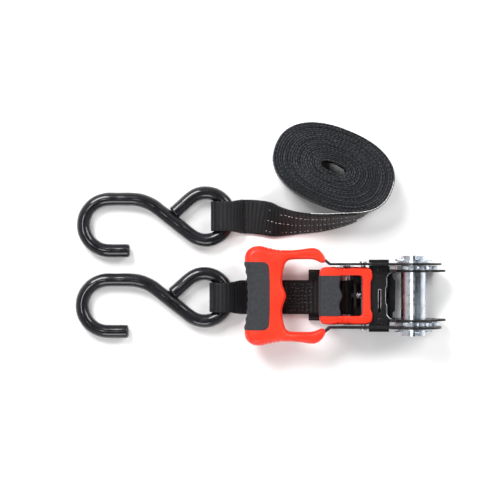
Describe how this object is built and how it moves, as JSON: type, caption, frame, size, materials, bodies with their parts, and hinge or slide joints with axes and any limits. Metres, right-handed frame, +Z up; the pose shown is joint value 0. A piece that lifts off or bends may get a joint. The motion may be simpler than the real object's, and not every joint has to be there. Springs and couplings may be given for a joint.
{
  "type": "ratchet tie down",
  "caption": "Ratchet tie down: padded-handle ratchet folded shut on a short hooked strap, and a long hooked strap wound into a roll standing on its edge.",
  "frame": {"origin": "middle of the whole set's box, on the table it lies on", "axes": "+X from the open hooks towards the ratchet's spool, +Y from the ratchet towards the long strap, +Z up from the table"},
  "size_m": [0.2756, 0.1646, 0.0428],
  "materials": {
    "black_steel": "semi-gloss black coated pressed steel",
    "zinc_plate": "bright zinc plated steel, slightly blue",
    "red_moulding": "satin red moulded plastic",
    "black_grip": "matte charcoal soft-touch overmould",
    "webbing": "black woven polyester webbing, ribbed across",
    "hook_vinyl": "glossy black dipped vinyl"
  },
  "bodies": {
    "base": {"base_frame": "black_steel", "anchor_bolt": "zinc_plate", "anchor_nut": "zinc_plate", "lock_spring": "zinc_plate", "short_strap": "webbing"},
    "lock_pawl": {"lock_pawl": "black_steel"},
    "handle": {"handle_arm_left": "black_steel", "handle_arm_right": "black_steel", "handle_tie_rod": "zinc_plate", "handle_bar": "zinc_plate", "handle_shell": "red_moulding", "handle_pad": "black_grip", "drive_spring": "zinc_plate"},
    "drive_pawl": {"drive_pawl": "black_steel", "pawl_rivets": "black_steel", "release_ring": "red_moulding", "release_pad": "black_grip"},
    "spool": {"spool_half_front": "zinc_plate", "spool_half_rear": "zinc_plate", "ratchet_wheel_left": "zinc_plate", "ratchet_wheel_right": "zinc_plate", "spool_washers": "zinc_plate", "cotter_pins": "zinc_plate"},
    "short_hook": {"short_hook_rod": "zinc_plate", "short_hook_coat": "hook_vinyl"},
    "long_strap": {"long_strap": "webbing", "strap_roll": "webbing"},
    "long_hook": {"long_hook_rod": "zinc_plate", "long_hook_coat": "hook_vinyl"}
  },
  "joints": [
    {"name": "handle_open", "type": "hinge", "parent": "base", "child": "handle", "pos_m": [0.1132, -0.0455, 0.022], "axis": [0, 1, 0], "range_deg": [0, 180]},
    {"name": "ring_pull", "type": "slide", "parent": "handle", "child": "drive_pawl", "axis": [-1, 0, 0], "range_m": [0, 0.004], "stiffness_N_per_m": 600, "springref_m": -0.004, "deforming": ["drive_spring"]},
    {"name": "lock_release", "type": "slide", "parent": "base", "child": "lock_pawl", "axis": [-1, 0, 0], "range_m": [0, 0.0042], "stiffness_N_per_m": 600, "springref_m": -0.004, "deforming": ["lock_spring"]},
    {"name": "spool_turn", "type": "hinge", "parent": "base", "child": "spool", "pos_m": [0.1132, -0.0455, 0.022], "axis": [0, 1, 0], "continuous": true},
    {"name": "short_hook_swing", "type": "hinge", "parent": "base", "child": "short_hook", "pos_m": [-0.0234, -0.0471, 0.00665], "axis": [0, 1, 0], "range_deg": [0, 45]},
    {"name": "strap_apart", "type": "slide", "parent": "base", "child": "long_strap", "axis": [0, 0, 1], "range_m": [0, 0.1]},
    {"name": "long_hook_swing", "type": "hinge", "parent": "long_strap", "child": "long_hook", "pos_m": [-0.0224, 0.0133, 0.00665], "axis": [0, 1, 0], "range_deg": [0, 45]}
  ]
}
